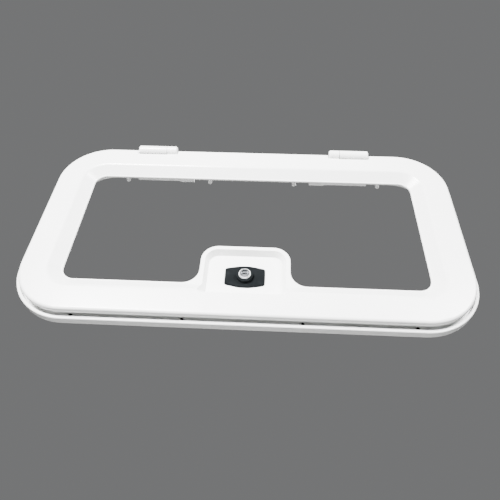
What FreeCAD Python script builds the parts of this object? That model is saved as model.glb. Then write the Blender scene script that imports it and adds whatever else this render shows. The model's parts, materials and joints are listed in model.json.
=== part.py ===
import FreeCAD, Part
import math
import os
from FreeCAD import Vector

# Caravan service hatch: base frame on the wall, door ring hinged along its top edge, key lock with a cam.
# Millimetres. X to the right, Z up, front towards -Y. The wall plane is Y = 0.
# Sections are drawn in (inset, height): inset runs inwards from an outer edge,
# height runs forwards from the wall.

# Door ring
DOOR_W = 695.4
DOOR_H = 358.4
DOOR_R = 84.0
DOOR_FRONT = 28.0
EDGE_H = 9.5
EDGE_ROUND = 4.5
WALL = 2.7
RING_W = 62.7
LAND_W = 42.7
CREASE_R = 9.0
LIP_W = 2.0
LIP_H = 15.5
LIP_BEVEL = 0.9
SEAL_RIB_IN = 15.7
SEAL_RIB_T = 2.5
WEB_T = 2.0
WEB_PITCH = 80.0

# Lock bay: a tongue of the door ring that stands up into the aperture, dished for the lock
BAY_W = 141.6
BAY_H = 74.2
BAY_R = 27.0
BAY_FOOT_R = 26.0
BAY_RIM = 7.0
DISH_FLOOR = 4.5
DISH_DRAFT = 0.43
DISH_NEAR_IN = 38.2
DISH_NEAR_R = 8.0
FLOOR_T = 3.0

# Screw posts on the back of the door ring
POST_R = 3.7
POST_SIDES = 12
POST_TIP = -10.0
POST_IN = 45.7
POST_X = (79.0, 235.0)
POST_BAY_GAP = 25.0
PILOT_R = 1.25
PILOT_SIDES = 8
PILOT_DEPTH = 16.0

# Base frame
BASE_OUT = 7.3
RIM_W = 4.5
RIM_BEVEL = 1.0
GAP = 5.4
FLANGE_W = 33.0
FLANGE_T = 3.0
SPIGOT_T = 3.0
SPIGOT_DEPTH = 22.0
WEIR_IN = 20.0
WEIR_W = 8.0
WEIR_H = 10.5
SEAL_W = 6.0
SEAL_BEVEL = 1.8
SEAL_CLEAR = 0.5
SCREW_IN = 13.0
SCREW_R = 2.3
SCREW_HEAD_R = 4.4
SCREW_X = (89.0, 255.0)

# Hinges
HINGE_X = 179.0
HINGE_L = 72.0
DOOR_KNUCKLE_L = 18.5
KNUCKLE_R = 9.0
KNUCKLE_BEVEL = 2.0
KNUCKLE_GAP = 1.0
HINGE_OUT = -2.5
HINGE_H = 27.5
PIN_R = 2.5
PIN_INSET = 0.5
RUN_FIT = 0.05
NOTCH_CLEAR = 1.5
NOTCH_SIDE = 1.0
STIFFENER_L = 104.0
STIFFENER_T = 3.0
STIFFENER_W = 14.0
STIFFENER_INWARD = 21.0
STIFFENER_FOOT = 5.3
STIFFENER_EAR_L = 27.0
STIFFENER_EAR_DROP = 2.0

# Lock
LOCK_UP = 21.0
PLATE_W = 63.0
PLATE_H = 40.5
PLATE_BOW = 5.0
PLATE_BOW_R = 60.0
PLATE_FLAT = 16.0
PLATE_R = 4.0
PLATE_T = 3.0
PLATE_BEVEL = 1.2
COLLAR_R = 13.0
COLLAR_T = 5.0
HEAD_R = 9.3
HEAD_H = 9.0
HEAD_BEVEL = 2.0
MOUTH_BEVEL = 1.0
BARREL_R = 9.0
BARREL_CLEAR = 0.3
BARREL_BACK = -11.0
NUT_FLATS = 24.0
NUT_T = 6.0
PLUG_R = 5.5
PLUG_SUNK = 2.5
KEYWAY_W = 7.6
KEYWAY_H = 2.0
KEYWAY_DEPTH = 6.0
DRIVE_W = 6.0
CAM_L = 50.0
CAM_W = 16.0
CAM_ROUND = 5.0
CAM_T = 2.5
CAM_GAP = 2.0
CAM_SCREW_R = 6.0
CAM_SCREW_T = 3.5
STRIKE_W = 40.0
STRIKE_T = 2.0
STRIKE_TAB = 15.0
STRIKE_FOOT = 10.0
STRIKE_CLEAR = 5.0

# Heights and positions that follow from the above
EDGE_BACK = DOOR_FRONT - EDGE_H
RIM_TOP = EDGE_BACK - GAP
HALF_W = DOOR_W / 2
HALF_H = DOOR_H / 2
BASE_HALF_W = HALF_W + BASE_OUT
BASE_HALF_H = HALF_H + BASE_OUT
BASE_R = DOOR_R + BASE_OUT
SPIGOT_IN = FLANGE_W - SPIGOT_T
CENTRE_Z = BASE_HALF_H - FLANGE_W / 2
AXIS_V = HALF_H + HINGE_OUT
FLOOR_BACK = DISH_FLOOR - FLOOR_T
LIP_V = RING_W - HALF_H
BAY_TOP = LIP_V + BAY_H
LOCK_V = LIP_V + LOCK_UP
LOCK_FACE = DISH_FLOOR + PLATE_T + HEAD_H
SLOPE_FALL = (DOOR_FRONT - LIP_H) / (RING_W - LIP_W - LAND_W)
SLOPE_THICK = WALL * math.hypot(1, SLOPE_FALL)
CAM_FRONT = BARREL_BACK - CAM_GAP


def at(x, v, height):
    """A point from its distance right of centre, above centre and in front of the wall."""
    return Vector(x, -height, v + CENTRE_Z)


def rounded_edges(corners):
    """Edges of a closed outline whose corners are (a, b, radius), drawn in the plane of a and b."""
    count = len(corners)
    cuts = []
    for i in range(count):
        a, b, radius = corners[i]
        here = Vector(a, b, 0)
        before = Vector(corners[i - 1][0], corners[i - 1][1], 0) - here
        after = Vector(corners[(i + 1) % count][0], corners[(i + 1) % count][1], 0) - here
        before.normalize()
        after.normalize()
        if radius <= 0:
            cuts.append((here, None, here))
            continue
        half = before.getAngle(after) / 2
        middle = (before + after).normalize()
        reach = radius / math.tan(half)
        centre = here + middle * (radius / math.sin(half))
        cuts.append((here + before * reach, centre - middle * radius, here + after * reach))
    edges = []
    for i in range(count):
        start, top, end = cuts[i]
        if top is not None:
            edges.append(Part.Arc(start, top, end).toShape())
        following = cuts[(i + 1) % count][0]
        if end.distanceToPoint(following) > 1e-6:
            edges.append(Part.LineSegment(end, following).toShape())
    return edges


def outline(corners):
    return Part.Wire(Part.__sortEdges__(rounded_edges(corners)))


def front_prism(corners, low, high):
    """A prism with its outline in (x, v), running from one height to another."""
    face = Part.Face(outline(corners))
    face.rotate(Vector(0, 0, 0), Vector(1, 0, 0), 90)
    face.translate(at(0, 0, low))
    return face.extrude(Vector(0, low - high, 0))


def side_prism(corners, x_low, x_high):
    """A prism with its outline in (v, height), running along X."""
    face = Part.Face(outline(corners))
    face.rotate(Vector(0, 0, 0), Vector(0, 1, 0), -90)
    face.rotate(Vector(0, 0, 0), Vector(0, 0, 1), 180)
    face.translate(at(x_low, 0, 0))
    return face.extrude(Vector(x_high - x_low, 0, 0))


def polygon(x, v, radius, sides):
    """Corners of a regular polygon in (x, v)."""
    turns = [2 * math.pi * k / sides for k in range(sides)]
    return [(x + radius * math.cos(turn), v + radius * math.sin(turn), 0) for turn in turns]


def rod(x, v, radius, low, high):
    """A cylinder standing out from the wall."""
    return Part.makeCylinder(radius, high - low, at(x, v, low), Vector(0, -1, 0))


def cross_rod(v, height, radius, x_low, x_high):
    """A cylinder lying along X."""
    return Part.makeCylinder(radius, x_high - x_low, at(x_low, v, height), Vector(1, 0, 0))


def knuckle_barrel(plain_end, bevelled_end):
    """One hinge knuckle about the hinge axis, bevelled at the end that faces away from the other knuckle."""
    way = math.copysign(1, bevelled_end - plain_end)
    shoulder = bevelled_end - way * KNUCKLE_BEVEL
    along = Vector(way, 0, 0)
    narrow = KNUCKLE_R - KNUCKLE_BEVEL
    cone = Part.makeCone(KNUCKLE_R, narrow, KNUCKLE_BEVEL, at(shoulder, AXIS_V, HINGE_H), along)
    low, high = sorted((plain_end, shoulder))
    return cross_rod(AXIS_V, HINGE_H, KNUCKLE_R, low, high).fuse(cone)


def block(x_low, x_high, v_low, v_high, low, high):
    return Part.makeBox(x_high - x_low, high - low, v_high - v_low, at(x_low, v_low, high))


def ring(section, half_w, half_h, radius):
    """A section carried round a rounded rectangle: four straight runs and four quarter turns."""
    pieces = []
    for turn in range(4):
        upright = turn % 2 == 0
        reach = half_w if upright else half_h
        run = (half_h if upright else half_w) - radius
        angle = math.radians(90 * turn)
        outward = Vector(math.cos(angle), 0, math.sin(angle))
        along = Vector(-math.sin(angle), 0, math.cos(angle))
        face = Part.Face(outline([(reach - inset, -height, r) for inset, height, r in section]))
        face.rotate(Vector(0, 0, 0), Vector(0, 1, 0), -90 * turn)
        face.translate(Vector(0, 0, CENTRE_Z) - along * run)
        pieces.append(face.extrude(along * (2 * run)))
        face.translate(along * (2 * run))
        pivot = Vector(0, 0, CENTRE_Z) + outward * (reach - radius) + along * run
        pieces.append(face.revolve(pivot, Vector(0, -1, 0), 90))
    return pieces[0].fuse(pieces[1:]).removeSplitter()


def slope_back(inset):
    """Height of the back of the door ring's slope at an inset."""
    return DOOR_FRONT - SLOPE_FALL * (inset - LAND_W) - SLOPE_THICK


def slope_back_inset(height):
    """Inset at which the back of the slope has a height."""
    return LAND_W + (DOOR_FRONT - SLOPE_THICK - height) / SLOPE_FALL


def flat_wire(corners, height):
    """An outline in (x, v) at a height."""
    wire = outline(corners)
    wire.rotate(Vector(0, 0, 0), Vector(1, 0, 0), 90)
    wire.translate(at(0, 0, height))
    return wire


def bay_corners(inset):
    """Outline of the lock bay, with hollow corners where it leaves the ring's lip."""
    half = BAY_W / 2 - inset
    foot = BAY_W / 2 + BAY_FOOT_R + LIP_W
    top = BAY_TOP - inset
    lip = LIP_V - inset
    root = LIP_V - LIP_W
    return [
        (-foot, root, 0), (foot, root, 0), (foot, lip, 0), (half, lip, BAY_FOOT_R + inset),
        (half, top, BAY_R - inset), (-half, top, BAY_R - inset),
        (-half, lip, BAY_FOOT_R + inset), (-foot, lip, 0),
    ]


def dish_corners(height, spread):
    """Outline of the drafted dish at a height, grown by a spread all round."""
    grow = (height - LIP_H) * DISH_DRAFT + spread
    side = BAY_W / 2 - BAY_RIM + grow
    far = BAY_TOP - BAY_RIM + grow
    near = DISH_NEAR_IN - HALF_H + (DOOR_FRONT - height) * DISH_DRAFT - spread
    far_r = BAY_R - BAY_RIM + grow
    near_r = DISH_NEAR_R + spread
    return [(-side, near, near_r), (side, near, near_r), (side, far, far_r), (-side, far, far_r)]


def dish(low, spread):
    """The dish round the lock as a solid, wider towards the front."""
    high = DOOR_FRONT + EDGE_ROUND
    wires = [flat_wire(dish_corners(height, spread), height) for height in (low, high)]
    return Part.makeLoft(wires, True, True)


def lock_bay(envelope):
    """The bay's rim and the tub behind it, before the dish is cut out."""
    bend = LIP_H - LIP_BEVEL
    plate = front_prism(bay_corners(0), LIP_H - WALL, bend)
    brow_wires = [flat_wire(bay_corners(0), bend), flat_wire(bay_corners(LIP_BEVEL), LIP_H)]
    brow = Part.makeLoft(brow_wires, True, True)
    room = block(-BAY_W / 2, BAY_W / 2, LIP_V, BAY_TOP, FLOOR_BACK, LIP_H)
    tub = dish(FLOOR_BACK, WALL).common(envelope.fuse(room))
    return [plate, brow, tub]


def webs(envelope):
    """Stiffening webs under the land, from the sealing rib to the slope."""
    first = SEAL_RIB_IN
    last = slope_back_inset(DOOR_FRONT - WALL)
    half = WEB_T / 2
    found = []
    count = int((HALF_W - DOOR_R) // WEB_PITCH)
    for k in range(count + 1):
        for x in (-(k + 0.5) * WEB_PITCH, (k + 0.5) * WEB_PITCH):
            found.append(block(x - half, x + half, HALF_H - last, HALF_H - first, EDGE_BACK, DOOR_FRONT))
            found.append(block(x - half, x + half, first - HALF_H, last - HALF_H, EDGE_BACK, DOOR_FRONT))
    for v in (-WEB_PITCH / 2, WEB_PITCH / 2):
        found.append(block(HALF_W - last, HALF_W - first, v - half, v + half, EDGE_BACK, DOOR_FRONT))
        found.append(block(first - HALF_W, last - HALF_W, v - half, v + half, EDGE_BACK, DOOR_FRONT))
    return [web.common(envelope) for web in found]


def door_ring():
    under = DOOR_FRONT - WALL
    lip_back = LIP_H - WALL
    front = [(0, DOOR_FRONT, EDGE_ROUND), (LAND_W, DOOR_FRONT, CREASE_R), (RING_W - LIP_W, LIP_H, 0)]
    skin = [(0, EDGE_BACK, 0)] + front + [
        (RING_W - LIP_BEVEL, LIP_H, 0), (RING_W, LIP_H - LIP_BEVEL, 0), (RING_W, lip_back, 0),
        (slope_back_inset(lip_back), lip_back, 0),
        (slope_back_inset(under), under, 0), (SEAL_RIB_IN + SEAL_RIB_T, under, 0),
        (SEAL_RIB_IN + SEAL_RIB_T, EDGE_BACK, 0), (SEAL_RIB_IN, EDGE_BACK, 0), (SEAL_RIB_IN, under, 0),
        (WALL, under, 0), (WALL, EDGE_BACK, 0),
    ]
    filled = [(0, FLOOR_BACK, 0)] + front + [(RING_W, LIP_H, 0), (RING_W, FLOOR_BACK, 0)]
    envelope = ring(filled, HALF_W, HALF_H, DOOR_R)
    added = lock_bay(envelope) + webs(envelope)
    cuts = [dish(DISH_FLOOR, 0), rod(0, LOCK_V, BARREL_R + BARREL_CLEAR, FLOOR_BACK - 1, DISH_FLOOR + 1)]
    for side in (-1, 1):
        low, high = sorted(hinge_span(side))
        low -= NOTCH_SIDE
        high += NOTCH_SIDE
        backing = block(low - WALL, high + WALL, notch_v() - WALL, HALF_H, EDGE_BACK, DOOR_FRONT)
        added.append(backing.common(envelope))
        cuts.append(block(low, high, notch_v(), HALF_H + KNUCKLE_R, FLOOR_BACK, DOOR_FRONT + EDGE_ROUND))
    return ring(skin, HALF_W, HALF_H, DOOR_R).fuse(added).cut(cuts).removeSplitter()


def post_places():
    """Posts round the aperture; those of the lower row stand clear of the lock bay."""
    places = []
    for x in POST_X:
        for side in (-1, 1):
            places.append((side * x, HALF_H - POST_IN))
            places.append((side * max(x, BAY_W / 2 + POST_BAY_GAP), POST_IN - HALF_H))
    places.append((HALF_W - POST_IN, 0))
    places.append((POST_IN - HALF_W, 0))
    return places


def screw_posts(carrier):
    """Posts that end on the back of the door ring's slope, each with a pilot hole in its tip."""
    posts = []
    for x, v in post_places():
        post = front_prism(polygon(x, v, POST_R, POST_SIDES), POST_TIP, DOOR_FRONT).cut(carrier)
        post = max(post.Solids, key=lambda solid: solid.BoundBox.YMax)
        pilot = front_prism(polygon(x, v, PILOT_R, PILOT_SIDES), POST_TIP - 1, POST_TIP + PILOT_DEPTH)
        posts.append(post.cut(pilot))
    return Part.makeCompound(posts)


def hinge_span(side):
    """Inner and outer end of one hinge along X."""
    return side * (HINGE_X - HINGE_L / 2), side * (HINGE_X + HINGE_L / 2)


def hinge_split(side):
    """X of the facing ends of the door's short knuckle and of the base's long one."""
    split = hinge_span(side)[0] + side * DOOR_KNUCKLE_L
    return split, split + side * KNUCKLE_GAP


def notch_v():
    return AXIS_V - KNUCKLE_R - NOTCH_CLEAR


def door_knuckle(side):
    """The door's short knuckle, its arm seated in the ring's notch."""
    inner = hinge_span(side)[0]
    split = hinge_split(side)[0]
    low, high = sorted((inner, split))
    arm = block(low, high, notch_v(), AXIS_V, EDGE_BACK, DOOR_FRONT)
    shape = arm.fuse(knuckle_barrel(split, inner))
    return shape.cut(cross_rod(AXIS_V, HINGE_H, PIN_R + RUN_FIT, low - 1, high + 1)).removeSplitter()


def base_knuckle(side):
    """The base's long knuckle on a lug that stands in the gutter and on the rim."""
    outer = hinge_span(side)[1]
    split = hinge_split(side)[1]
    low, high = sorted((split, outer))
    rim_inside = BASE_HALF_H - RIM_W
    front = AXIS_V - KNUCKLE_R
    lug = side_prism([(front, FLANGE_T, 0), (front, HINGE_H, 0), (BASE_HALF_H, HINGE_H, 0),
                      (BASE_HALF_H, RIM_TOP, 0), (rim_inside, RIM_TOP, 0),
                      (rim_inside, FLANGE_T, 0)], low, high)
    shape = lug.fuse(knuckle_barrel(split, outer))
    return shape.cut(cross_rod(AXIS_V, HINGE_H, PIN_R, low - 1, high + 1)).removeSplitter()


def hinge_pin(side):
    low, high = sorted(hinge_span(side))
    return cross_rod(AXIS_V, HINGE_H, PIN_R, low + PIN_INSET, high - PIN_INSET)


def hinge_stiffener(side):
    """A bent bar behind each hinge: one leaf on the slope's back, one down from it, deeper in an ear."""
    last = slope_back_inset(LIP_H - WALL)
    first = last - STIFFENER_W
    bend = last - STIFFENER_T
    middle = side * (HINGE_X - STIFFENER_INWARD)
    bar = side_prism([
        (HALF_H - first, slope_back(first), 0), (HALF_H - last, slope_back(last), 0),
        (HALF_H - last, STIFFENER_FOOT, 0), (HALF_H - bend, STIFFENER_FOOT, 0),
        (HALF_H - bend, slope_back(bend) - STIFFENER_T, 0),
        (HALF_H - first, slope_back(first) - STIFFENER_T, 0),
    ], middle - STIFFENER_L / 2, middle + STIFFENER_L / 2)
    inner = middle - side * STIFFENER_L / 2
    low, high = sorted((inner, inner + side * STIFFENER_EAR_L))
    ear = block(low, high, HALF_H - last, HALF_H - bend, STIFFENER_FOOT - STIFFENER_EAR_DROP, STIFFENER_FOOT)
    return bar.fuse(ear).removeSplitter()


def base_frame():
    """Flange on the wall with an outer rim, a gutter and the weir that carries the seal."""
    section = [
        (0, 0, 0), (0, RIM_TOP - RIM_BEVEL, 0), (RIM_BEVEL, RIM_TOP, 0),
        (RIM_W, RIM_TOP, 0), (RIM_W, FLANGE_T, 0),
        (WEIR_IN, FLANGE_T, 0), (WEIR_IN, WEIR_H, 0), (WEIR_IN + WEIR_W, WEIR_H, 0),
        (WEIR_IN + WEIR_W, FLANGE_T, 0), (SPIGOT_IN, FLANGE_T, 0), (SPIGOT_IN, 0, 0),
    ]
    holes = []
    for x, v in screw_places():
        holes.append(rod(x, v, SCREW_R, -1, FLANGE_T + 1))
        rise = SCREW_HEAD_R - SCREW_R
        holes.append(Part.makeCone(SCREW_R, SCREW_HEAD_R, rise, at(x, v, FLANGE_T - rise), Vector(0, -1, 0)))
    return ring(section, BASE_HALF_W, BASE_HALF_H, BASE_R).cut(holes)


def frame_spigot():
    """The wall along the flange's inner edge that passes back through the cut-out."""
    section = [(SPIGOT_IN, FLANGE_T, 0), (FLANGE_W, FLANGE_T, 0), (FLANGE_W, -SPIGOT_DEPTH, 0),
               (SPIGOT_IN, -SPIGOT_DEPTH, 0)]
    return ring(section, BASE_HALF_W, BASE_HALF_H, BASE_R)


def screw_places():
    places = []
    for side in (-1, 1):
        for end in (-1, 1):
            for x in SCREW_X:
                places.append((side * x, end * (BASE_HALF_H - SCREW_IN)))
    return places


def frame_seal():
    """A rubber bulb on the weir, just short of the door's sealing rib."""
    top = EDGE_BACK - SEAL_CLEAR
    first = WEIR_IN + (WEIR_W - SEAL_W) / 2
    last = first + SEAL_W
    shoulder = top - SEAL_BEVEL
    section = [(first, WEIR_H, 0), (first, shoulder, 0),
               (first + SEAL_BEVEL, top, 0), (last - SEAL_BEVEL, top, 0),
               (last, shoulder, 0), (last, WEIR_H, 0)]
    return ring(section, BASE_HALF_W, BASE_HALF_H, BASE_R)


def strike_plate():
    """A bent plate on the lower spigot wall; the cam turns down behind its standing tab."""
    floor = FLANGE_W - BASE_HALF_H
    back = CAM_FRONT + STRIKE_CLEAR
    half = STRIKE_W / 2
    foot = block(-half, half, floor, floor + STRIKE_T, back, back + STRIKE_FOOT)
    tab = block(-half, half, floor, floor + STRIKE_TAB, back, back + STRIKE_T)
    return foot.fuse(tab).removeSplitter()


def plate_wire(inset, height):
    """Outline of the lock plate: straight sides, top and bottom bowed, corners rounded."""
    half_w = PLATE_W / 2 - inset
    half_h = PLATE_H / 2 - inset
    shoulder = half_h - PLATE_BOW
    flat = PLATE_FLAT / 2
    corner = PLATE_R - inset
    lower = [(-half_w, LOCK_V - shoulder, corner), (-flat, LOCK_V - half_h, PLATE_BOW_R),
             (flat, LOCK_V - half_h, PLATE_BOW_R), (half_w, LOCK_V - shoulder, corner)]
    upper = [(x, 2 * LOCK_V - v, radius) for x, v, radius in reversed(lower)]
    return flat_wire(lower + upper, height)


def lock_plate():
    top = DISH_FLOOR + PLATE_T
    slab = Part.Face(plate_wire(0, DISH_FLOOR)).extrude(Vector(0, PLATE_BEVEL - PLATE_T, 0))
    bevel = Part.makeLoft([plate_wire(0, top - PLATE_BEVEL), plate_wire(PLATE_BEVEL, top)], True, True)
    hole = rod(0, LOCK_V, BARREL_R + BARREL_CLEAR, DISH_FLOOR - 1, top + 1)
    return slab.fuse(bevel).cut(hole).removeSplitter()


def lock_collar():
    low = DISH_FLOOR + PLATE_T
    high = low + COLLAR_T
    return rod(0, LOCK_V, COLLAR_R, low, high).cut(rod(0, LOCK_V, HEAD_R + BARREL_CLEAR, low - 1, high + 1))


def lock_barrel():
    """Head and body in one turned piece, bored for the plug, with a bevelled brow and bore mouth."""
    low = DISH_FLOOR + PLATE_T
    brow = LOCK_FACE - HEAD_BEVEL
    mouth = LOCK_FACE - MOUTH_BEVEL
    bore_r = PLUG_R + RUN_FIT
    forward = Vector(0, -1, 0)
    head = rod(0, LOCK_V, HEAD_R, low, brow)
    cone = Part.makeCone(HEAD_R, HEAD_R - HEAD_BEVEL, HEAD_BEVEL, at(0, LOCK_V, brow), forward)
    body = rod(0, LOCK_V, BARREL_R, BARREL_BACK, low)
    bore = rod(0, LOCK_V, bore_r, BARREL_BACK - 1, LOCK_FACE + 1)
    funnel = Part.makeCone(bore_r, bore_r + MOUTH_BEVEL, MOUTH_BEVEL, at(0, LOCK_V, mouth), forward)
    return head.fuse([cone, body]).cut([bore, funnel]).removeSplitter()


def lock_nut():
    nut = front_prism(polygon(0, LOCK_V, NUT_FLATS / math.sqrt(3), 6), FLOOR_BACK - NUT_T, FLOOR_BACK)
    return nut.cut(rod(0, LOCK_V, BARREL_R + BARREL_CLEAR, FLOOR_BACK - NUT_T - 1, FLOOR_BACK + 1))


def lock_plug():
    """The plug with its keyway, and the square drive that carries the cam."""
    half = DRIVE_W / 2
    slot = block(-KEYWAY_W / 2, KEYWAY_W / 2, LOCK_V - KEYWAY_H / 2, LOCK_V + KEYWAY_H / 2,
                 LOCK_FACE - KEYWAY_DEPTH, LOCK_FACE + 1)
    drive = block(-half, half, LOCK_V - half, LOCK_V + half, CAM_FRONT - CAM_T, BARREL_BACK)
    return rod(0, LOCK_V, PLUG_R, BARREL_BACK, LOCK_FACE - PLUG_SUNK).fuse(drive).cut(slot).removeSplitter()


def lock_cam():
    """A flat cam on the plug's square drive, at rest along +X."""
    half = CAM_W / 2
    corners = [(-half, LOCK_V - half, CAM_ROUND), (CAM_L, LOCK_V - half, CAM_ROUND),
               (CAM_L, LOCK_V + half, CAM_ROUND), (-half, LOCK_V + half, CAM_ROUND)]
    drive = DRIVE_W / 2
    hole = block(-drive, drive, LOCK_V - drive, LOCK_V + drive, CAM_FRONT - CAM_T - 1, CAM_FRONT + 1)
    return front_prism(corners, CAM_FRONT - CAM_T, CAM_FRONT).cut(hole)


def cam_screw():
    back = CAM_FRONT - CAM_T
    return rod(0, LOCK_V, CAM_SCREW_R, back - CAM_SCREW_T, back)


os.makedirs("parts", exist_ok=True)
DOOR = door_ring()
PIECES = {
    "base_frame": base_frame(),
    "frame_spigot": frame_spigot(),
    "frame_seal": frame_seal(),
    "strike_plate": strike_plate(),
    "base_knuckle_left": base_knuckle(-1),
    "base_knuckle_right": base_knuckle(1),
    "hinge_pin_left": hinge_pin(-1),
    "hinge_pin_right": hinge_pin(1),
    "door_ring": DOOR,
    "screw_posts": screw_posts(DOOR),
    "door_knuckle_left": door_knuckle(-1),
    "door_knuckle_right": door_knuckle(1),
    "hinge_stiffener_left": hinge_stiffener(-1),
    "hinge_stiffener_right": hinge_stiffener(1),
    "lock_plate": lock_plate(),
    "lock_collar": lock_collar(),
    "lock_barrel": lock_barrel(),
    "lock_nut": lock_nut(),
    "lock_plug": lock_plug(),
    "lock_cam": lock_cam(),
    "cam_screw": cam_screw(),
}
for node, shape in PIECES.items():
    shape.exportStep("parts/" + node + ".step")
    print(node, shape.ShapeType, len(shape.Solids), shape.isValid(), round(shape.Volume / 1000, 2))
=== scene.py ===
import json
import math

import bpy
from mathutils import Matrix, Vector


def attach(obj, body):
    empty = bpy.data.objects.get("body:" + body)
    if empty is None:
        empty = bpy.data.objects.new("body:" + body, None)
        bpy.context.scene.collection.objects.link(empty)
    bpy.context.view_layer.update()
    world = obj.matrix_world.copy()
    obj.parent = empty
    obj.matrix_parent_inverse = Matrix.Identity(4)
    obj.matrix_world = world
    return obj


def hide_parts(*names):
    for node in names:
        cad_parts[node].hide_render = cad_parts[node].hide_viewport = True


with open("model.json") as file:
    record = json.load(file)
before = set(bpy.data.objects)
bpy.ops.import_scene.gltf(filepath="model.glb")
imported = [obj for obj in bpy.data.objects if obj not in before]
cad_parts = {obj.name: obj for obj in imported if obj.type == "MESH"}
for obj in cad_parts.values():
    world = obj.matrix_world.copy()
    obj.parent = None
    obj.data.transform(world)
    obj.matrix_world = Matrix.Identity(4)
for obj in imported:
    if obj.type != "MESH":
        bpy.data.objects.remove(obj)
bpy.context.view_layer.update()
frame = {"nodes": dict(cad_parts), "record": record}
nodes = frame["nodes"]

# The hatch's own measures, in millimetres: across from its middle, up from its middle (V),
# inwards from the door's edge (IN) and out from the wall.
MM = 0.001
CENTRE_Z = 170.0
FRONT = Vector((0, -1, 0))
BACK = Vector((0, 1, 0))
UP = Vector((0, 0, 1))
DOOR_HALF_H = 179.2
DOOR_FRONT = 28.0
LAND_W = 42.7
SLOPE_W = 18.0
LIP_H = 15.5
WALL_T = 2.7
LOCK_V = -95.5
BROW_FROM_R = 7.2
BROW_FULL_R = 8.0
PLUG_FACE = 14.0
CAM_BACK = -15.5
BAY_BACK = 1.5
NUT_BACK = -4.5
BARREL_BACK = -11.0
FLANGE_T = 3.0
SCREW_V = 173.5
SCREW_X = (89.0, 255.0)
SCREW_SUNK = 1.48
HINGE_ENDS = (143.0, 215.0)
AXIS_V = 176.7
AXIS_H = 27.5
PIN_INSET = 0.5
PAN_R = 3.0
PAN_H = 1.7
STIFFENER_T = 3.0
STIFFENER_SCREW_IN = 51.2
STIFFENER_SCREW_X = (118.0, 158.0, 198.0)
STRIKE_TOP_V = -151.5
STRIKE_SCREW_X = 12.0
STRIKE_SCREW_H = -3.0
SHUTTER_SUNK = 1.6
EJECTOR_X = 44.0
EJECTOR_V = (-70.0, -112.0)

# The studio, in metres, and the colour and strength of its surround.
FLOOR_Z = -1.2
FLOOR_SIZE = 30.0
SURROUND_COLOUR = (0.80, 0.81, 0.82, 1.0)
SURROUND_STRENGTH = 0.22


def at(across, up, out):
    """A place on the hatch, in metres."""
    return Vector((across, -out, up + CENTRE_Z)) * MM


HATCH_CENTRE = at(0, 0, DOOR_FRONT)


class Socket:
    """A shader value: operators on it add the Math nodes they stand for."""

    def __init__(self, maker, socket):
        self.maker = maker
        self.socket = socket

    def math(self, operation, first, second):
        return self.maker.node("ShaderNodeMath", {"operation": operation}, {0: first, 1: second})

    def __add__(self, other):
        return self.math("ADD", self, other)

    def __mul__(self, other):
        return self.math("MULTIPLY", self, other)

    def __pow__(self, other):
        return self.math("POWER", self, other)

    __radd__ = __add__
    __rmul__ = __mul__


class Finish:
    """One procedural material, built node by node."""

    def __init__(self, name):
        self.material = bpy.data.materials.new(name)
        self.material.use_nodes = True
        self.tree = self.material.node_tree
        self.shader = self.tree.nodes["Principled BSDF"]
        self.place = self.node("ShaderNodeTexCoord", {}, {}, "Object")

    def node(self, kind, settings, inputs, output=0):
        made = self.tree.nodes.new(kind)
        for key, value in settings.items():
            if key == "stops":
                self.set_stops(made.color_ramp, value)
            else:
                setattr(made, key, value)
        for key, value in inputs.items():
            self.feed(made.inputs[key], value)
        return Socket(self, made.outputs[output])

    def set_stops(self, ramp, stops):
        while len(ramp.elements) < len(stops):
            ramp.elements.new(1.0)
        for element, (position, colour) in zip(ramp.elements, stops):
            element.position = position
            element.color = (*colour, 1.0)

    def feed(self, target, value):
        if isinstance(value, Socket):
            self.tree.links.new(value.socket, target)
        else:
            target.default_value = value

    def stretched(self, scale, turn=(0.0, 0.0, 0.0)):
        return self.node("ShaderNodeMapping", {}, {"Vector": self.place, "Scale": scale, "Rotation": turn})

    def noise(self, scale, detail=3.0, rough=0.55, where=None):
        inputs = {"Vector": where or self.place, "Scale": scale, "Detail": detail, "Roughness": rough}
        return self.node("ShaderNodeTexNoise", {}, inputs, "Fac")

    def cells(self, scale, output):
        return self.node("ShaderNodeTexVoronoi", {}, {"Vector": self.place, "Scale": scale}, output)

    def ramp(self, value, low, high, first, last):
        """A colour that runs from first to last while the value runs from low to high."""
        stops = [(low, first), (high, last)]
        return self.node("ShaderNodeValToRGB", {"stops": stops}, {"Fac": value}, "Color")

    def mask(self, value, low, high):
        """0 to 1 while the value runs from low to high, held beyond."""
        inputs = {"Value": value, "From Min": low, "From Max": high}
        return self.node("ShaderNodeMapRange", {"clamp": True}, inputs, "Result")

    def mix(self, factor, first, second):
        return self.node("ShaderNodeMix", {"data_type": "RGBA"}, {0: factor, 6: first, 7: second}, 2)

    def bump(self, height, strength, distance):
        inputs = {"Strength": strength, "Distance": distance, "Height": height}
        return self.node("ShaderNodeBump", {}, inputs, "Normal")

    def set(self, **sockets):
        for name, value in sockets.items():
            self.feed(self.shader.inputs[name.replace("_", " ")], value)
        return self.material


def scuffs(f, scale, turn):
    """Thin handling marks along one direction: a stretched noise of which only the crests are kept."""
    return f.mask(f.noise(scale, 2.0, 0.5, f.stretched((0.05, 1.0, 1.0), turn)), 0.70, 0.80)


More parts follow.
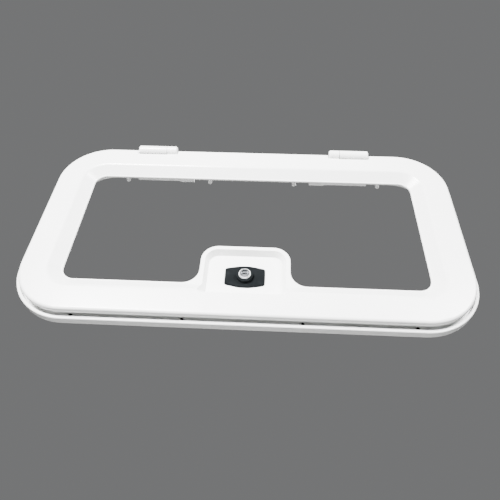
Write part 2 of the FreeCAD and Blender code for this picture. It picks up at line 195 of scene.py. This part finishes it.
def moulded_white():
    """Gloss white ABS: slight flow clouding, orange peel, fine scuffs and a little dust."""
    f = Finish("moulded_white")
    cloud = f.noise(7.0, 4.0)
    flow = f.noise(16.0, 3.0, 0.5, f.stretched((1.0, 0.3, 0.25)))
    marks = scuffs(f, 240.0, (0.0, 0.5, 0.0)) * 0.5 + scuffs(f, 300.0, (0.0, -0.9, 0.0)) * 0.5
    dust = f.mask(f.noise(1300.0, 2.0), 0.66, 0.74)
    tint = f.ramp(cloud * 0.6 + flow * 0.4, 0.3, 0.7, (0.845, 0.850, 0.845), (0.885, 0.888, 0.880))
    colour = f.mix(dust * 0.10, tint, (0.60, 0.59, 0.56, 1.0))
    rough = f.noise(24.0, 5.0) * 0.12 + marks * 0.16 + dust * 0.10 + 0.18
    peel = f.noise(360.0, 2.0)
    return f.set(Base_Color=colour, Roughness=rough, Normal=f.bump(peel + flow * 1.5, 0.07, 0.0005), IOR=1.52,
                 Coat_Weight=0.10, Coat_Roughness=0.10)


def satin_black():
    """Satin black moulded plastic: spark grain, pale rub marks on a slate-black ground."""
    f = Finish("satin_black")
    grain = f.noise(1700.0, 2.0)
    cloud = f.noise(70.0, 3.0)
    rubbed = f.mask(f.noise(120.0, 4.0, 0.6, f.stretched((0.4, 1.0, 1.0))), 0.55, 0.75)
    ground = f.ramp(cloud, 0.3, 0.7, (0.0030, 0.0036, 0.0040), (0.0052, 0.0060, 0.0066))
    colour = f.mix(rubbed * 0.35, ground, (0.013, 0.015, 0.016, 1.0))
    rough = f.noise(200.0, 3.0) * 0.12 + rubbed * 0.08 + 0.44
    return f.set(Base_Color=colour, Roughness=rough, Normal=f.bump(grain, 0.20, 0.0003), IOR=1.48,
                 Specular_IOR_Level=0.01)


def turned_chrome():
    """Chrome on a turned lock: tool rings about the key's axis and wear; the face is coloured dark as painted
    shade, and the brow is rougher and coloured pale as a painted highlight.
    """
    f = Finish("turned_chrome")
    from_axis = {0: f.place, 1: at(0, LOCK_V, 0)}
    centred = f.node("ShaderNodeVectorMath", {"operation": "SUBTRACT"}, from_axis, "Vector")
    parts = [f.node("ShaderNodeSeparateXYZ", {}, {"Vector": centred}, axis) for axis in ("X", "Z")]
    radius = (parts[0] * parts[0] + parts[1] * parts[1]) ** 0.5
    fine = {"W": radius, "Scale": 2600.0, "Detail": 2.0}
    rings = f.node("ShaderNodeTexNoise", {"noise_dimensions": "1D"}, fine, "Fac")
    wear = f.noise(260.0, 4.0)
    # From the brow's inner radius outwards: a rougher finish, and a paler colour that is a painted highlight;
    # this reaches every lock_chrome piece beyond that radius.
    brow_roughness_and_painted_highlight = f.mask(radius, BROW_FROM_R * MM, BROW_FULL_R * MM)
    # The face's dark colour is painted shade; the wear mottle within it is real.
    face = f.ramp(wear, 0.3, 0.7, (0.17, 0.18, 0.19), (0.24, 0.25, 0.26))
    colour = f.mix(brow_roughness_and_painted_highlight, face, (0.93, 0.94, 0.95, 1.0))
    rough = wear * 0.06 + rings * 0.04 + brow_roughness_and_painted_highlight * 0.20 + 0.20
    return f.set(Base_Color=colour, Roughness=rough, Metallic=1.0, Normal=f.bump(rings, 0.015, 0.0002))


def plated_steel():
    """Zinc plated pressed steel: spangle, rolled streaks and dull patches."""
    f = Finish("plated_steel")
    tone = f.node("ShaderNodeSeparateColor", {}, {"Color": f.cells(420.0, "Color")}, 0)
    streak = f.noise(160.0, 4.0, 0.6, f.stretched((0.15, 1.0, 1.0)))
    dull = f.mask(f.noise(55.0, 4.0), 0.45, 0.65)
    bright = f.ramp(tone * 0.45 + streak * 0.55, 0.2, 0.8, (0.42, 0.43, 0.44), (0.60, 0.60, 0.59))
    colour = f.mix(dull * 0.4, bright, (0.36, 0.35, 0.33, 1.0))
    rough = streak * 0.20 + dull * 0.14 + 0.22
    return f.set(Base_Color=colour, Roughness=rough, Metallic=1.0, Normal=f.bump(streak, 0.14, 0.0002))


def foam_rubber():
    """Black closed-cell rubber: matt, finely pitted, with a grey bloom."""
    f = Finish("foam_rubber")
    pits = f.cells(900.0, "Distance")
    bloom = f.noise(40.0, 4.0)
    colour = f.ramp(bloom, 0.3, 0.7, (0.012, 0.012, 0.013), (0.032, 0.032, 0.033))
    rough = bloom * 0.25 + 0.60
    return f.set(Base_Color=colour, Roughness=rough, Normal=f.bump(pits, 0.35, 0.0003))


def painted_floor():
    """Pale studio floor paint with a soft mottle."""
    f = Finish("painted_floor")
    colour = f.ramp(f.noise(3.0, 4.0), 0.3, 0.7, (0.82, 0.82, 0.81), (0.86, 0.86, 0.85))
    return f.set(Base_Color=colour, Roughness=0.9)


FINISHES = {
    "white_abs": moulded_white(),
    "black_plastic": satin_black(),
    "lock_chrome": turned_chrome(),
    "zinc_steel": plated_steel(),
    "seal_rubber": foam_rubber(),
}


def dress_nodes():
    """Every carried-over solid takes the finish of its slot."""
    for part in frame["record"]["subparts"]:
        node = nodes[part["node"]]
        node.data.materials.clear()
        node.data.materials.append(FINISHES[part["material_slot"]])


def only(*pieces):
    """Selects these pieces and nothing else."""
    bpy.ops.object.select_all(action="DESELECT")
    for piece in pieces:
        piece.select_set(True)
    bpy.context.view_layer.objects.active = pieces[0]


def turned(name, profile, steps=32):
    """A turned piece about +Z: its profile of (radius, along) is drawn point by point and spun."""
    bpy.ops.object.select_all(action="DESELECT")
    bpy.ops.mesh.primitive_plane_add(size=MM)
    piece = bpy.context.object
    piece.name = name
    bpy.ops.object.mode_set(mode="EDIT")
    bpy.ops.mesh.select_all(action="SELECT")
    bpy.ops.mesh.merge(type="CENTER")
    bpy.ops.transform.translate(value=(profile[0][0] * MM, 0, profile[0][1] * MM))
    for (radius, along), (next_radius, next_along) in zip(profile, profile[1:]):
        step = ((next_radius - radius) * MM, 0, (next_along - along) * MM)
        bpy.ops.mesh.extrude_region_move(TRANSFORM_OT_translate={"value": step})
    bpy.ops.mesh.select_all(action="SELECT")
    bpy.ops.mesh.spin(steps=steps, angle=math.tau, center=(0, 0, 0), axis=(0, 0, 1))
    bpy.ops.mesh.select_all(action="SELECT")
    bpy.ops.mesh.remove_doubles(threshold=0.005 * MM)
    bpy.ops.mesh.normals_make_consistent(inside=False)
    bpy.ops.object.mode_set(mode="OBJECT")
    return piece


def slab(name, size, place, bevel):
    """A bevelled block, its size and place given in millimetres."""
    bpy.ops.object.select_all(action="DESELECT")
    bpy.ops.mesh.primitive_cube_add(size=1, location=place * MM, scale=size * MM)
    piece = bpy.context.object
    piece.name = name
    bpy.ops.object.transform_apply(location=True, rotation=True, scale=True)
    bpy.ops.object.mode_set(mode="EDIT")
    bpy.ops.mesh.select_all(action="SELECT")
    bpy.ops.mesh.bevel(offset=bevel * MM, segments=2, affect="EDGES")
    bpy.ops.object.mode_set(mode="OBJECT")
    return piece


def carve(piece, cutter):
    """Takes the cutter's shape out of the piece."""
    cut = piece.modifiers.new("carve", "BOOLEAN")
    cut.operation = "DIFFERENCE"
    cut.solver = "EXACT"
    cut.object = cutter
    only(piece)
    bpy.ops.object.modifier_apply(modifier=cut.name)
    only(cutter)
    bpy.ops.object.delete()


def cross_recess(piece, top, length, width, depth):
    """A driver's cross in the head of a screw whose top lies at a height along +Z."""
    for size_x, size_y, raised in ((length, width, 0.0), (width, length, 0.01)):
        size = Vector((size_x, size_y, 2 * depth))
        carve(piece, slab("driver_cross", size, Vector((0, 0, top + raised)), width * 0.2))


def finish_piece(piece, slot, body, sharp=35):
    """Shading, finish and the body that the piece moves with."""
    only(piece)
    bpy.ops.object.shade_smooth_by_angle(angle=math.radians(sharp))
    piece.data.materials.clear()
    piece.data.materials.append(FINISHES[slot])
    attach(piece, body)


def set_out(model, places, name):
    """Copies of a modelled piece at (place, direction of its +Z), joined into one piece; the model goes."""
    made = []
    for place, direction in places:
        only(model)
        bpy.ops.object.duplicate(linked=False)
        copy = bpy.context.object
        copy.matrix_world = Matrix.Translation(place) @ direction.to_track_quat("Z", "Y").to_matrix().to_4x4()
        bpy.ops.object.transform_apply(location=True, rotation=True, scale=True)
        made.append(copy)
    only(model)
    bpy.ops.object.delete()
    only(*made)
    if len(made) > 1:
        bpy.ops.object.join()
    joined = bpy.context.object
    joined.name = name
    joined.data.name = name
    return joined


def threaded(top, bottom, crest, root, pitch):
    """Profile points of a thread from the top down."""
    points = []
    count = int((top - bottom) / pitch)
    for k in range(count):
        points.append((root, top - k * pitch))
        points.append((crest, top - (k + 0.5) * pitch))
    points.append((root, top - count * pitch))
    return points


def wall_screws():
    """Countersunk wall screws in the gutter, their heads sunk in the flange; their black finish is painted
    shade for the dark screw holes.
    """
    profile = [(0, 0), (2.4, 0), (2.6, -0.15), (2.6, -0.30), (1.9, -1.0)]
    profile += threaded(top=-1.8, bottom=-16.0, crest=1.9, root=1.4, pitch=1.4)
    profile += [(0.8, -17.6), (0, -19.5)]
    screw = turned("wall_screw", profile, 24)
    cross_recess(screw, top=0, length=3.0, width=0.7, depth=0.6)
    places = []
    for side in (-1, 1):
        for end in (-1, 1):
            for x in SCREW_X:
                places.append((at(side * x, end * SCREW_V, FLANGE_T - SCREW_SUNK), FRONT))
    # The black finish stands in for the shade in the flange's screw holes: painted shade.
    finish_piece(set_out(screw, places, "wall_screws"), "black_plastic", "base")


def cam_fixing():
    """The cam's fixing: plain washer, split washer and a pan head with a driver's cross."""
    rim = [(5.8, 0), (6.0, 0.15), (6.0, 0.75), (5.8, 0.9)]
    washer = turned("cam_washer", [(2.2, 0)] + rim + [(2.2, 0.9), (2.2, 0)])
    spring = turned("cam_spring", [(2.2, 0.9), (4.3, 0.9), (4.3, 1.5), (2.2, 1.5), (2.2, 0.9)])
    carve(spring, slab("spring_gap", Vector((4.0, 0.7, 2.0)), Vector((4.0, 0, 1.2)), 0.1))
    dome = [(4.6, 1.7), (4.5, 2.4), (3.9, 3.0), (2.6, 3.4), (0, 3.5)]
    head = turned("cam_head", [(0, 1.5), (4.4, 1.5)] + dome)
    cross_recess(head, top=3.5, length=4.6, width=0.9, depth=1.2)
    only(head, spring, washer)
    bpy.ops.object.join()
    fixing = set_out(bpy.context.object, [(at(0, LOCK_V, CAM_BACK), BACK)], "cam_fixing")
    finish_piece(fixing, "zinc_steel", "plug")
    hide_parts("cam_screw")


def pan_screw(name, radius, height):
    """A small pan head screw, its seat at 0 and its head along +Z."""
    dome = [(radius * 0.86, height * 0.75), (radius * 0.55, height * 0.95), (0, height)]
    screw = turned(name, [(0, 0), (radius, 0), (radius, height * 0.35)] + dome, 24)
    cross_recess(screw, top=height, length=radius * 1.15, width=radius * 0.22, depth=height * 0.45)
    return screw


def stiffener_screws():
    """Screws that hold each stiffener's leaf to the back of the slope."""
    fall = (DOOR_FRONT - LIP_H) / SLOPE_W
    thick = WALL_T * math.hypot(1, fall)
    out = DOOR_FRONT - fall * (STIFFENER_SCREW_IN - LAND_W) - thick - STIFFENER_T
    facing = Vector((0, 1, fall)).normalized()
    places = []
    for side in (-1, 1):
        for x in STIFFENER_SCREW_X:
            places.append((at(side * x, DOOR_HALF_H - STIFFENER_SCREW_IN, out), facing))
    screws = set_out(pan_screw("stiffener_screw", PAN_R, PAN_H), places, "stiffener_screws")
    finish_piece(screws, "zinc_steel", "door")


def strike_screws():
    """Screws that hold the strike plate to the spigot."""
    places = [(at(side * STRIKE_SCREW_X, STRIKE_TOP_V, STRIKE_SCREW_H), UP) for side in (-1, 1)]
    screws = set_out(pan_screw("strike_screw", PAN_R, PAN_H), places, "strike_screws")
    finish_piece(screws, "zinc_steel", "base")


def pin_ends():
    """Domed ends of the hinge pins, standing in the knuckles' mouths."""
    end = turned("pin_end", [(0, 0), (2.4, 0), (2.4, 0.3), (2.0, 0.7), (1.2, 0.95), (0, 1.05)], 24)
    places = []
    for side in (-1, 1):
        inner, outer = HINGE_ENDS
        places.append((at(side * (inner + PIN_INSET), AXIS_V, AXIS_H), Vector((-side, 0, 0))))
        places.append((at(side * (outer - PIN_INSET), AXIS_V, AXIS_H), Vector((side, 0, 0))))
    finish_piece(set_out(end, places, "hinge_pin_ends"), "zinc_steel", "base")


def barrel_thread():
    """The thread on the lock's body behind its nut."""
    top = NUT_BACK - 0.1
    core = 8.9
    profile = threaded(top, bottom=BARREL_BACK + 0.3, crest=9.28, root=9.02, pitch=0.9)
    lowest = profile[-1][1]
    profile = [(core, top)] + profile + [(core, lowest), (core, top)]
    thread = turned("lock_barrel_thread", profile, 48)
    finish_piece(set_out(thread, [(at(0, LOCK_V, 0), FRONT)], "lock_barrel_thread"), "lock_chrome", "door")


def key_shutter():
    """The sprung flap that closes the keyway behind the plug's face."""
    flap = slab("key_shutter", Vector((7.4, 1.9, 0.5)), Vector((0, 0, 0)), 0.12)
    flap = set_out(flap, [(at(0, LOCK_V, PLUG_FACE - SHUTTER_SUNK), FRONT)], "key_shutter")
    finish_piece(flap, "black_plastic", "plug")


def ejector_marks():
    """Round marks that the moulding tool left on the back of the lock bay."""
    profile = [(0, -0.05), (3.2, -0.05), (3.2, 0.18), (2.7, 0.18), (2.5, 0.08), (0, 0.08)]
    mark = turned("ejector_mark", profile, 32)
    places = [(at(side * EJECTOR_X, v, BAY_BACK), BACK) for side in (-1, 1) for v in EJECTOR_V]
    finish_piece(set_out(mark, places, "ejector_marks"), "white_abs", "door")


def studio():
    """A pale floor, a plain grey surround and soft lights."""
    bpy.ops.object.select_all(action="DESELECT")
    bpy.ops.mesh.primitive_plane_add(size=FLOOR_SIZE, location=(0, 0, FLOOR_Z))
    floor = bpy.context.object
    floor.name = "studio_floor"
    bpy.ops.object.transform_apply(location=True, rotation=True, scale=True)
    floor.data.materials.append(painted_floor())
    world = bpy.data.worlds.new("studio_world")
    bpy.context.scene.world = world
    world.use_nodes = True
    sky = world.node_tree.nodes["Background"]
    sky.inputs["Color"].default_value = SURROUND_COLOUR
    sky.inputs["Strength"].default_value = SURROUND_STRENGTH
    softbox("key_light", place=(-0.8, -2.05, 0.70), size=0.9, power=49.0, spread=60)
    softbox("side_light", place=(1.3, -1.75, 0.85), size=0.8, power=18.0, spread=60)
    softbox("back_light", place=(0.4, 2.4, 1.8), size=1.6, power=60.0, spread=160)
    softbox("catch_light", place=(-0.04, -0.68, -0.72), size=0.45, power=0.8, spread=120)


def softbox(name, place, size, power, spread):
    """A square light aimed at the hatch, its beam held within a spread in degrees."""
    light = bpy.data.lights.new(name, "AREA")
    light.shape = "SQUARE"
    light.size = size
    light.energy = power
    light.spread = math.radians(spread)
    lamp = bpy.data.objects.new(name, light)
    bpy.context.scene.collection.objects.link(lamp)
    lamp.location = place
    aim = HATCH_CENTRE - Vector(place)
    lamp.rotation_euler = aim.to_track_quat("-Z", "Y").to_euler()


# Camera as read from the photo: focal length in pixels of a 500 pixel frame, then the view's
# angles in degrees, the centre's offset in pixels and its distance in metres.
FRAME_PX = 500.0
SENSOR_MM = 36.0
FOCAL_PX = 470.0
VIEW_RISE = 50.8
VIEW_SWING = 3.37
VIEW_ROLL = 0.68
CENTRE_PX = (-2.16, -27.9)
VIEW_DISTANCE = 0.7770


def photo_camera():
    """The photo's view of the hatch, turned with it to stand upright."""
    rise, swing, roll = (math.radians(a) for a in (VIEW_RISE, VIEW_SWING, VIEW_ROLL))
    back = Vector((math.sin(swing) * math.cos(rise), -math.sin(rise), -math.cos(swing) * math.cos(rise)))
    right = Vector((math.cos(swing), 0.0, math.sin(swing)))
    up = back.cross(right)
    turned_right = right * math.cos(roll) - up * math.sin(roll)
    turned_up = right * math.sin(roll) + up * math.cos(roll)
    place = (HATCH_CENTRE + back * VIEW_DISTANCE
             - turned_right * (CENTRE_PX[0] / FOCAL_PX * VIEW_DISTANCE)
             + turned_up * (CENTRE_PX[1] / FOCAL_PX * VIEW_DISTANCE))
    data = bpy.data.cameras.new("photo_camera")
    data.sensor_width = SENSOR_MM
    data.lens = FOCAL_PX / FRAME_PX * SENSOR_MM
    data.clip_start = 0.01
    camera = bpy.data.objects.new("photo_camera", data)
    bpy.context.scene.collection.objects.link(camera)
    turn = Matrix((turned_right, turned_up, back)).transposed()
    camera.matrix_world = Matrix.Translation(place) @ turn.to_4x4()
    bpy.context.scene.camera = camera


dress_nodes()
wall_screws()
cam_fixing()
stiffener_screws()
strike_screws()
pin_ends()
barrel_thread()
key_shutter()
ejector_marks()
studio()
photo_camera()
